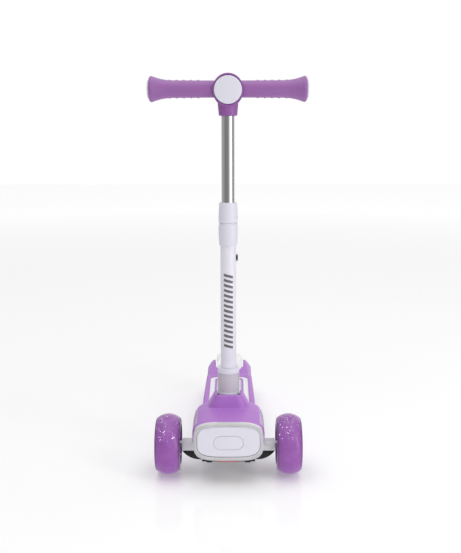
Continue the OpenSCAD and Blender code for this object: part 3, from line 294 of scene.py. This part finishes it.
rare = node(tree, "ShaderNodeMath", {1: 0.55}, {0: (channel, 0)}, operation="GREATER_THAN")
chosen = node(tree, "ShaderNodeMath", links={0: (near, 0), 1: (rare, 0)}, operation="MULTIPLY")
# Painted glint: the flakes show only where the surface faces upward, towards the overhead softbox.
upward = node(tree, "ShaderNodeSeparateXYZ", links={"Vector": (surface, "Normal")})
painted_glint_upward_mask = node(tree, "ShaderNodeMapRange", {"From Min": 0.3, "From Max": 0.5}, {"Value": (upward, "Z")})
flakes = node(tree, "ShaderNodeMath", links={0: (chosen, 0), 1: (painted_glint_upward_mask, "Result")}, operation="MULTIPLY")
poured = node(tree, "ShaderNodeMixShader", links={0: (flakes, 0), 1: (resin, 0), 2: (flake, 0)})
node(tree, "ShaderNodeOutputMaterial", links={"Surface": (poured, 0)})

# Moulded nylon: satin, a deeper purple than the tyre.
nylon, tree = fresh("moulded_nylon")
place, noise, skin = grain(tree, 0.8 * mm, 0.12, 0.03 * mm)
gleam = node(tree, "ShaderNodeValToRGB", links={"Fac": (noise, 0)}, stops=[(0.3, 0.32), (0.7, 0.44)])
resin = node(tree, "ShaderNodeBsdfPrincipled", {"Base Color": linear("#9358a6")},
             {"Roughness": (gleam, "Color"), "Normal": (skin, 0)})
node(tree, "ShaderNodeOutputMaterial", links={"Surface": (resin, 0)})

# Zinc-plated steel: pale grey, with the fine lines of turning and a cloudy shine.
zinc, tree = fresh("zinc_plated_steel")
place, noise, skin = grain(tree, 1.5 * mm, 0.1, 0.02 * mm)
gleam = node(tree, "ShaderNodeValToRGB", links={"Fac": (noise, 0)}, stops=[(0.3, 0.24), (0.7, 0.4)])
metal = node(tree, "ShaderNodeBsdfPrincipled", {"Base Color": linear("#b9bcc1"), "Metallic": 1.0},
             {"Roughness": (gleam, "Color"), "Normal": (skin, 0)})
node(tree, "ShaderNodeOutputMaterial", links={"Surface": (metal, 0)})


def tyre_profile(radius, width, tyre_t, crown_r, corner, seam):
    """Half-round tread with rounded shoulders and a moulding seam, as (radius, distance along X)."""
    half = width / 2
    points = [(radius - tyre_t, -half), (radius - tyre_t + 6 * mm, -half)]
    top = math.asin(half / crown_r)
    edge = radius - crown_r + crown_r * math.cos(top)
    turn_in = math.pi / 2 - top
    shoulder = (edge - corner * math.tan(turn_in / 2), -half + corner)
    points += [(shoulder[0] + corner * math.sin(a), shoulder[1] - corner * math.cos(a))
               for a in [turn_in * i / 6 for i in range(7)]]
    lean = math.asin(min(1.0, -points[-1][1] / crown_r))
    steps = 14
    points += [(radius - crown_r + crown_r * math.cos(a), -crown_r * math.sin(a))
               for a in [lean * (1 - i / steps) for i in range(1, steps)]]
    points += [(radius - 0.1 * mm, -seam), (radius, -seam / 2)]
    points += [(r, -x) for r, x in reversed(points)]
    return points + [points[0]]


def dress_wheel(side_name, body):
    low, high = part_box(side_name + "_tyre")
    middle = (low + high) / 2
    radius = (high.z - low.z) / 2
    place = Matrix.Translation(middle)
    wall, crown_r, corner, seam = 20 * mm, 33 * mm, 4.5 * mm, 0.5 * mm
    rim = tyre_profile(radius, high.x - low.x, wall, crown_r, corner, seam)
    tyre = turned(side_name + "_tyre_cast", rim, place)
    fit(tyre, body, urethane, "purple_urethane", side_name + "_tyre", crease=40)
    hub = bevelled(welded(side_name + "_hub", side_name + "_hub_moulded"), 0.7 * mm)
    fit(hub, body, nylon, "purple_hub", side_name + "_hub")
    races = bevelled(welded(side_name + "_bearings", side_name + "_bearings_ground"), 0.4 * mm, 2)
    fit(races, body, zinc, "zinc_steel", side_name + "_bearings")


dress_wheel("left", "left_wheel")
dress_wheel("right", "right_wheel")
nuts = bevelled(welded("front_axle_nuts", "front_axle_nuts_chamfered"), 0.5 * mm, 2)
fit(nuts, "truck", zinc, "zinc_steel", "front_axle_nuts")
dress(zinc, "front_axles", "front_spacers")

# ---- front truck ----
# The axle beam is black glass-filled nylon with a white ABS cover snapped over its arms. It leans
# on the kingpin, between two cast urethane bushes.
def moulded(name, low, high, matt=0.3):
    """Moulded ABS: a fine sparked skin that is a little uneven in colour and in shine."""
    material, tree = fresh(name)
    place, noise, skin = grain(tree, 0.7 * mm, 0.12, 0.03 * mm)
    gleam = node(tree, "ShaderNodeValToRGB", links={"Fac": (noise, 0)},
                 stops=[(0.3, matt), (0.7, matt + 0.1)])
    tint = node(tree, "ShaderNodeValToRGB", links={"Fac": (noise, 0)}, stops=[(0.3, low), (0.7, high)])
    resin = node(tree, "ShaderNodeBsdfPrincipled", {},
                 {"Base Color": (tint, "Color"), "Roughness": (gleam, "Color"), "Normal": (skin, 0)})
    node(tree, "ShaderNodeOutputMaterial", links={"Surface": (resin, 0)})
    return material


abs_white = moulded("moulded_abs_white", "#dddbe7", "#e0dfea")
abs_pale = moulded("moulded_abs_pale_lilac", "#e4e2ee", "#e8e6f1")
# A lighter copy of the white ABS with light painted into it, so that the shaded arms of the axle cover show
# bright.
abs_white_painted_lit = moulded("moulded_abs_white_painted_lit", "#fafbfc", "#fcfcfd")

# Glass-filled nylon: near black, with a coarser and duller skin than the ABS.
nylon_black, tree = fresh("glass_filled_nylon_black")
place, noise, skin = grain(tree, 0.6 * mm, 0.25, 0.05 * mm)
gleam = node(tree, "ShaderNodeValToRGB", links={"Fac": (noise, 0)}, stops=[(0.3, 0.38), (0.7, 0.55)])
resin = node(tree, "ShaderNodeBsdfPrincipled", {"Base Color": linear("#1c1c1e")},
             {"Roughness": (gleam, "Color"), "Normal": (skin, 0)})
node(tree, "ShaderNodeOutputMaterial", links={"Surface": (resin, 0)})

beam = bevelled(welded("axle_beam", "axle_beam_moulded"), 1.2 * mm)
fit(beam, "truck", nylon_black, "black_plastic", "axle_beam")
# The cover's arms, shaded by the nose and wheels, get painted light from the lighter white copy.
cover = bevelled(welded("axle_cover", "axle_cover_moulded"), 1.0 * mm)
fit(cover, "truck", abs_white_painted_lit, "white_plastic", "axle_cover")
dress(zinc, "kingpin", "kingpin_nut")

# Cast urethane bushes: dull, slightly yellowed grey.
bush, tree = fresh("cast_urethane_bush")
place, noise, skin = grain(tree, 1.2 * mm, 0.15, 0.05 * mm)
tint = node(tree, "ShaderNodeValToRGB", links={"Fac": (noise, 0)}, stops=[(0.3, "#a9a6ab"), (0.7, "#b4b1b4")])
resin = node(tree, "ShaderNodeBsdfPrincipled", {"Roughness": 0.6},
             {"Base Color": (tint, "Color"), "Normal": (skin, 0)})
node(tree, "ShaderNodeOutputMaterial", links={"Surface": (resin, 0)})
dress(bush, "steer_bushes")

# ---- deck ----
# One moulding of purple ABS with a sparked, satin skin, closed underneath by a black tray.
# A white trim frame and a soft pad lie in its top.
abs_purple = moulded("moulded_abs_purple", "#b679d0", "#bb7fd5", 0.4)

# EVA foam: matt and pale lilac, with a pebbled emboss that softens its shine.
eva, tree = fresh("embossed_eva_foam")
place, noise, skin = grain(tree, 1.4 * mm, 0.5, 0.12 * mm)
tint = node(tree, "ShaderNodeValToRGB", links={"Fac": (noise, 0)}, stops=[(0.3, "#dedcec"), (0.7, "#e5e3f2")])
resin = node(tree, "ShaderNodeBsdfPrincipled", {"Roughness": 0.72, "Sheen Weight": 0.15},
             {"Base Color": (tint, "Color"), "Normal": (skin, 0)})
node(tree, "ShaderNodeOutputMaterial", links={"Surface": (resin, 0)})

deck = bevelled(welded("deck_body", "deck_moulded"), 1.4 * mm)
fit(deck, "deck", abs_purple, "purple_plastic", "deck_body")
tray = bevelled(welded("under_tray", "under_tray_moulded"), 0.8 * mm)
fit(tray, "deck", nylon_black, "black_plastic", "under_tray")
trim = bevelled(welded("deck_trim", "deck_trim_moulded"), 0.6 * mm)
fit(trim, "deck", abs_white_painted_lit, "white_plastic", "deck_trim")
pad = bevelled(welded("deck_pad", "deck_pad_embossed"), 0.7 * mm)
fit(pad, "deck", eva, "lilac_pad", "deck_pad")
screws = bevelled(welded("tray_screws", "tray_screws_headed"), 0.5 * mm, 2)
fit(screws, "deck", zinc, "zinc_steel", "tray_screws")


# ---- nose ----
# A thin shell of the same purple ABS over a black steel bracket, with a raised collar
# round the folding joint. Its corners are softened as a moulding's are.
def softened(piece, voxel, passes):
    """Remeshes a piece finely and smooths it, so that its corners and joints are blended."""
    finished(piece, "REMESH", mode="VOXEL", voxel_size=voxel)
    return finished(piece, "SMOOTH", factor=0.5, iterations=passes)


# The collar's rim dips at the front, so that the foot of the release button shows above it.
shell = welded("nose_cowl", "nose_shell")
rim_z = max(vertex.co.z for vertex in shell.data.vertices)
rim = [vertex for vertex in shell.data.vertices if vertex.co.z > rim_z - 0.5 * mm]
rim_y = min(vertex.co.y for vertex in rim)
dip, dip_reach = 3 * mm, 8 * mm
only(shell)
for vertex in rim:
    vertex.select = vertex.co.y < rim_y + dip_reach
bpy.ops.object.mode_set(mode="EDIT")
bpy.ops.transform.translate(value=(0, 0, -dip))
bpy.ops.object.mode_set(mode="OBJECT")
cowl = softened(shell, 0.95 * mm, 5)
fit(cowl, "deck", abs_purple, "purple_plastic", "nose_cowl", crease=60)


def printed(name, size, place, facing, slant, runs, onto, lift):
    """Marks of thin ink: one rectangle, turned and slanted, set out in runs and laid on a surface."""
    bpy.ops.object.select_all(action="DESELECT")
    bpy.ops.mesh.primitive_grid_add(size=1, x_subdivisions=12, y_subdivisions=2, location=(0, 0, 0))
    mark = bpy.context.object
    mark.name = name
    mark.matrix_world = (Matrix.Translation(place) @ facing @ Matrix.Rotation(slant, 4, "Z")
                         @ Matrix.Diagonal((*size, 1, 1)))
    bpy.ops.object.transform_apply(location=True, rotation=True, scale=True)
    for step, count in runs:
        finished(mark, "ARRAY", use_relative_offset=False, use_constant_offset=True,
                 constant_offset_displace=step, count=count)
    return finished(mark, "SHRINKWRAP", target=onto, wrap_method="NEAREST_SURFACEPOINT",
                    wrap_mode="ABOVE_SURFACE", offset=lift)


# White screen-printed ink: rows of short slanted dashes along both shoulders of the nose.
ink_white, tree = fresh("screen_printed_ink_white")
place, noise, skin = grain(tree, 0.5 * mm, 0.2, 0.02 * mm)
ink = node(tree, "ShaderNodeBsdfPrincipled", {"Base Color": linear("#f2f1f6"), "Roughness": 0.5},
           {"Normal": (skin, 0)})
node(tree, "ShaderNodeOutputMaterial", links={"Surface": (ink, 0)})
nose_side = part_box("nose_cowl")[1].x
dash_size = (3.8 * mm, 1.7 * mm)
for side, name in ((-1, "left"), (1, "right")):
    upright = Matrix.Rotation(math.radians(side * 70), 4, "Y")
    start = Vector((side * (nose_side - 1 * mm), axle_y - 40 * mm, centre("light_ring").z + 16 * mm))
    dashes = printed(name + "_nose_dashes", dash_size, start, upright, math.radians(side * 25),
                     [((0, 3.3 * mm, 0), 26), ((-side * 1.4 * mm, 1.2 * mm, 5.0 * mm), 4)], cowl, 0.12 * mm)
    fit(dashes, "deck", ink_white, "white_plastic")

# Powder coat on pressed steel: near black, satin, with a fine orange peel.
paint_black, tree = fresh("powder_coat_black")
place, noise, skin = grain(tree, 0.9 * mm, 0.3, 0.05 * mm)
resin = node(tree, "ShaderNodeBsdfPrincipled", {"Base Color": linear("#202023"), "Roughness": 0.45},
             {"Normal": (skin, 0)})
node(tree, "ShaderNodeOutputMaterial", links={"Surface": (resin, 0)})
bracket = bevelled(welded("chassis_bracket", "chassis_bracket_painted"), 0.5 * mm, 2)
fit(bracket, "deck", paint_black, "black_paint", "chassis_bracket")
dress(zinc, "bracket_bolts", "fold_washers")
pin = bevelled(welded("fold_pin", "fold_pin_ground"), 0.6 * mm, 2)
fit(pin, "deck", zinc, "zinc_steel", "fold_pin")

# ---- lamp ----
# A clear acrylic light guide runs round a white face plate, in front of a ring of diodes. The thin
# lines of its rounded edges, dark beside the plate and pale outside, are painted refraction and
# highlights, tinted by the way each part of the edge faces, in or out from the ring's middle.
acrylic, tree = fresh("clear_acrylic")
place, noise, skin = grain(tree, 8 * mm, 0.10, 0.1 * mm)
ring_low, ring_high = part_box("light_ring")
ring_middle, ring_size = (ring_low + ring_high) / 2, ring_high - ring_low
from_middle = node(tree, "ShaderNodeVectorMath", {1: ring_middle}, {0: (place, "Object")},
                   operation="SUBTRACT")
flat = node(tree, "ShaderNodeVectorMath", {1: (2 / ring_size.x, 0, 2 / ring_size.z)}, {0: (from_middle, 0)},
            operation="MULTIPLY")
outward = node(tree, "ShaderNodeVectorMath", links={0: (flat, 0), 1: (place, "Normal")},
               operation="DOT_PRODUCT")
across = node(tree, "ShaderNodeMapRange", {"From Min": -1, "From Max": 1}, {"Value": (outward, "Value")})
# Painted refraction and highlights: dark and grey lines with white gleams, set by how the edge faces.
painted_refraction_lines = node(tree, "ShaderNodeValToRGB", links={"Fac": (across, "Result")},
             stops=[(0.10, "#4b4850"), (0.36, "#7d7a83"), (0.46, "#f6f5f7"), (0.54, "#dddbdf"),
                    (0.64, "#aaa7ad"), (0.76, "#ffffff")])
glass = node(tree, "ShaderNodeBsdfPrincipled",
             {"Roughness": 0.05, "Transmission Weight": 0.25, "Coat Weight": 1.0, "Coat Roughness": 0.02},
             {"Base Color": (painted_refraction_lines, "Color"), "Normal": (skin, 0)})
node(tree, "ShaderNodeOutputMaterial", links={"Surface": (glass, 0)})
ring = bevelled(welded("light_ring", "light_ring_moulded"), 2.2 * mm, 6, 40)
fit(ring, "deck", acrylic, "clear_lens", "light_ring")
plate = bevelled(welded("face_plate", "face_plate_moulded"), 2.4 * mm, 6)
fit(plate, "deck", abs_pale, "white_plastic", "face_plate")
badge = bevelled(welded("badge", "badge_blank"), 0.3 * mm)
fit(badge, "deck", abs_pale, "white_plastic", "badge")

# Solder lacquer on glass-fibre board: glossy green, a little uneven.
lacquer, tree = fresh("circuit_board_lacquer")
place, noise, skin = grain(tree, 2 * mm, 0.2, 0.05 * mm)
tint = node(tree, "ShaderNodeValToRGB", links={"Fac": (noise, 0)},
            stops=[(0.45, "#1c6b3f"), (0.55, "#25804c")])
resin = node(tree, "ShaderNodeBsdfPrincipled", {"Roughness": 0.3},
             {"Base Color": (tint, "Color"), "Normal": (skin, 0)})
node(tree, "ShaderNodeOutputMaterial", links={"Surface": (resin, 0)})
dress(lacquer, "led_board")
dress(nylon_black, "battery_box")

# Polycarbonate lamp housing: plain white and smooth, to throw the light forward.
reflector, tree = fresh("moulded_reflector_white")
place, noise, skin = grain(tree, 1 * mm, 0.1, 0.03 * mm)
resin = node(tree, "ShaderNodeBsdfPrincipled", {"Base Color": linear("#e6e6ea"), "Roughness": 0.35},
             {"Normal": (skin, 0)})
node(tree, "ShaderNodeOutputMaterial", links={"Surface": (resin, 0)})
dress(reflector, "lamp_housing")

pan = bevelled(welded("belly_pan", "belly_pan_moulded"), 0.6 * mm)
fit(pan, "deck", nylon_black, "black_plastic", "belly_pan")
feet = bevelled(welded("nose_feet", "nose_feet_moulded"), 0.8 * mm)
fit(feet, "deck", nylon_black, "black_plastic", "nose_feet")

# Tinted acrylic: a glossy red strip, dim because no lamp is lit behind it.
red, tree = fresh("tinted_acrylic_red")
place, noise, skin = grain(tree, 1.5 * mm, 0.2, 0.05 * mm)
resin = node(tree, "ShaderNodeBsdfPrincipled", {"Base Color": linear("#c0504c"), "Roughness": 0.2},
             {"Normal": (skin, 0)})
node(tree, "ShaderNodeOutputMaterial", links={"Surface": (resin, 0)})
lens = bevelled(welded("belly_lens", "belly_lens_moulded"), 0.6 * mm)
fit(lens, "deck", red, "red_lens", "belly_lens")

# ---- rear wheel and brake ----
# A smaller cast wheel between the fork arms, on a plain steel axle. A sprung white fender hangs
# over it, and the heel presses its urethane shoe onto the tread.
dress_wheel("rear", "rear_wheel")
dress(zinc, "rear_axle", "rear_spacers", "brake_pin", "brake_spring")
nuts = bevelled(welded("rear_axle_nut", "rear_axle_nuts_chamfered"), 0.5 * mm, 2)
fit(nuts, "deck", zinc, "zinc_steel", "rear_axle_nut")
fender = bevelled(welded("brake_fender", "brake_fender_moulded"), 0.8 * mm)
fit(fender, "brake", abs_white_painted_lit, "white_plastic", "brake_fender")
dress(bush, "brake_shoe")

# ---- folding joint ----
# A white moulded knuckle is pinned between the bracket's ears. A pale grey release button slides
# in its front against two small springs.
abs_grey = moulded("moulded_abs_grey", "#c8c2cb", "#cec8d1", 0.45)
knuckle = bevelled(welded("fold_knuckle", "fold_knuckle_moulded"), 0.7 * mm)
fit(knuckle, "stem", abs_pale, "white_plastic", "fold_knuckle")
button = bevelled(welded("fold_button", "fold_button_moulded"), 0.5 * mm)
fit(button, "fold_button", abs_grey, "grey_plastic", "fold_button")
dress(zinc, "button_springs")

# ---- stem ----
# A white powder-coated steel tube takes a chromed one, with a twist clamp of two sleeves between
# them. A black button on its side catches the row of holes in the chromed tube.
# Powder coat on a drawn tube: white, half gloss, with a faint orange peel.
paint_white, tree = fresh("powder_coat_white")
place, noise, skin = grain(tree, 1.3 * mm, 0.12, 0.03 * mm)
tint = node(tree, "ShaderNodeValToRGB", links={"Fac": (noise, 0)}, stops=[(0.3, "#e6e3ee"), (0.7, "#e9e6f1")])
resin = node(tree, "ShaderNodeBsdfPrincipled", {"Roughness": 0.34, "Coat Weight": 0.15},
             {"Base Color": (tint, "Color"), "Normal": (skin, 0)})
node(tree, "ShaderNodeOutputMaterial", links={"Surface": (resin, 0)})

# Bright chrome plate on polished tube: a mirror, with no more than a faint cloud in its shine.
chrome, tree = fresh("bright_chrome_plate")
place, noise, skin = grain(tree, 30 * mm, 0.03, 0.05 * mm)
gleam = node(tree, "ShaderNodeValToRGB", links={"Fac": (noise, 0)}, stops=[(0.3, 0.05), (0.7, 0.09)])
metal = node(tree, "ShaderNodeBsdfPrincipled", {"Base Color": linear("#f0f0f2"), "Metallic": 1.0},
             {"Roughness": (gleam, "Color"), "Normal": (skin, 0)})
node(tree, "ShaderNodeOutputMaterial", links={"Surface": (metal, 0)})

tube = bevelled(welded("outer_tube", "outer_tube_painted"), 0.3 * mm, 2)
fit(tube, "stem", paint_white, "white_paint", "outer_tube")

# Grey screen-printed ink: a ladder of plain slanted bars up the front of the tube.
ink_grey, tree = fresh("screen_printed_ink_grey")
place, noise, skin = grain(tree, 0.5 * mm, 0.2, 0.02 * mm)
tint = node(tree, "ShaderNodeValToRGB", links={"Fac": (noise, 0)}, stops=[(0.3, "#6d696c"), (0.7, "#757174")])
ink = node(tree, "ShaderNodeBsdfPrincipled", {"Roughness": 0.5},
           {"Base Color": (tint, "Color"), "Normal": (skin, 0)})
node(tree, "ShaderNodeOutputMaterial", links={"Surface": (ink, 0)})
tube_low, tube_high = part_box("outer_tube")
rake = math.radians(2)
tube_r = (tube_high.x - tube_low.x) / 2
along_stem = Vector((0, math.sin(rake), math.cos(rake)))
first, pitch = 100 * mm, 9.7 * mm
bar_place = centre("fold_pin") + first * along_stem - Vector((0, tube_r, 0))
bars = printed("tube_bars", (21 * mm, 5 * mm), bar_place, Matrix.Rotation(math.radians(90), 4, "X"),
               math.radians(-14), [(pitch * along_stem, 15)], tube, 0.1 * mm)
fit(bars, "stem", ink_grey, "grey_plastic")
for part, body in (("clamp_base", "stem"), ("clamp_nut", "clamp_nut")):
    sleeve = bevelled(welded(part, part + "_moulded"), 0.5 * mm)
    fit(sleeve, body, abs_white, "white_plastic", part)
slider = bevelled(welded("inner_tube", "inner_tube_chromed"), 0.3 * mm, 2)
fit(slider, "bar", chrome, "chrome_plate", "inner_tube")
catch = bevelled(welded("height_button", "height_button_moulded"), 0.6 * mm)
fit(catch, "height_button", nylon_black, "black_plastic", "height_button")
dress(nylon_black, "height_seat")
dress(abs_grey, "clamp_collet", "tube_bush")

# ---- handlebar ----
# A purple moulded head with a white disc in front clamps a steel cross tube. Two soft grips are
# pushed over the tube, with a flared outer end and a white cap in each.
# A darker copy of the purple ABS with shade painted into it, worn by the head in place of the deck's purple.
abs_purple_painted_shade = moulded("moulded_abs_purple_painted_shade", "#8d539c", "#9258a1", 0.38)
head = softened(welded("bar_head", "bar_head_moulded"), 0.6 * mm, 6)
fit(head, "bar", abs_purple_painted_shade, "purple_plastic", "bar_head", crease=60)

# The disc is crowned, so it catches more of the light from above on its upper half.
disc_low, disc_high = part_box("head_disc")
disc_r = (disc_high.x - disc_low.x) / 2
disc_t = ((disc_high.y - disc_low.y) - 2 * disc_r * math.sin(rake)) / math.cos(rake)
crown = 1.6 * mm
front = [(disc_r * k, disc_t / 2 - crown * k * k) for k in (0.97, 0.85, 0.7, 0.5, 0.3, 0.1, 0)]
edge = disc_t / 2 - crown
outline = [(0, -disc_t / 2), (disc_r - 0.5 * mm, -disc_t / 2), (disc_r, 0.5 * mm - disc_t / 2),
           (disc_r, edge - 0.8 * mm), (disc_r - 0.2 * mm, edge - 0.2 * mm)] + front
disc_place = (Matrix.Translation((disc_low + disc_high) / 2) @ Matrix.Rotation(-rake, 4, "X")
              @ Matrix.Rotation(math.radians(-90), 4, "Z"))
disc = turned("head_disc_crowned", outline, disc_place)
fit(disc, "bar", abs_white, "white_plastic", "head_disc", crease=25)

# Thermoplastic rubber: matt, with a soft bloom where it is seen edge on.
rubber, tree = fresh("soft_thermoplastic_rubber")
place, noise, skin = grain(tree, 0.8 * mm, 0.3, 0.06 * mm)
tint = node(tree, "ShaderNodeValToRGB", links={"Fac": (noise, 0)}, stops=[(0.3, "#925c9f"), (0.7, "#9762a5")])
resin = node(tree, "ShaderNodeBsdfPrincipled", {"Roughness": 0.55, "Sheen Weight": 0.25},
             {"Base Color": (tint, "Color"), "Normal": (skin, 0)})
node(tree, "ShaderNodeOutputMaterial", links={"Surface": (resin, 0)})
for side in ("left", "right"):
    grip = softened(welded(side + "_grip", side + "_grip_moulded"), 0.6 * mm, 5)
    fit(grip, "bar", rubber, "purple_grip", side + "_grip", crease=60)
caps = bevelled(welded("bar_caps", "bar_caps_moulded"), 0.6 * mm)
fit(caps, "bar", abs_white, "white_plastic", "bar_caps")
dress(zinc, "bar_tube")
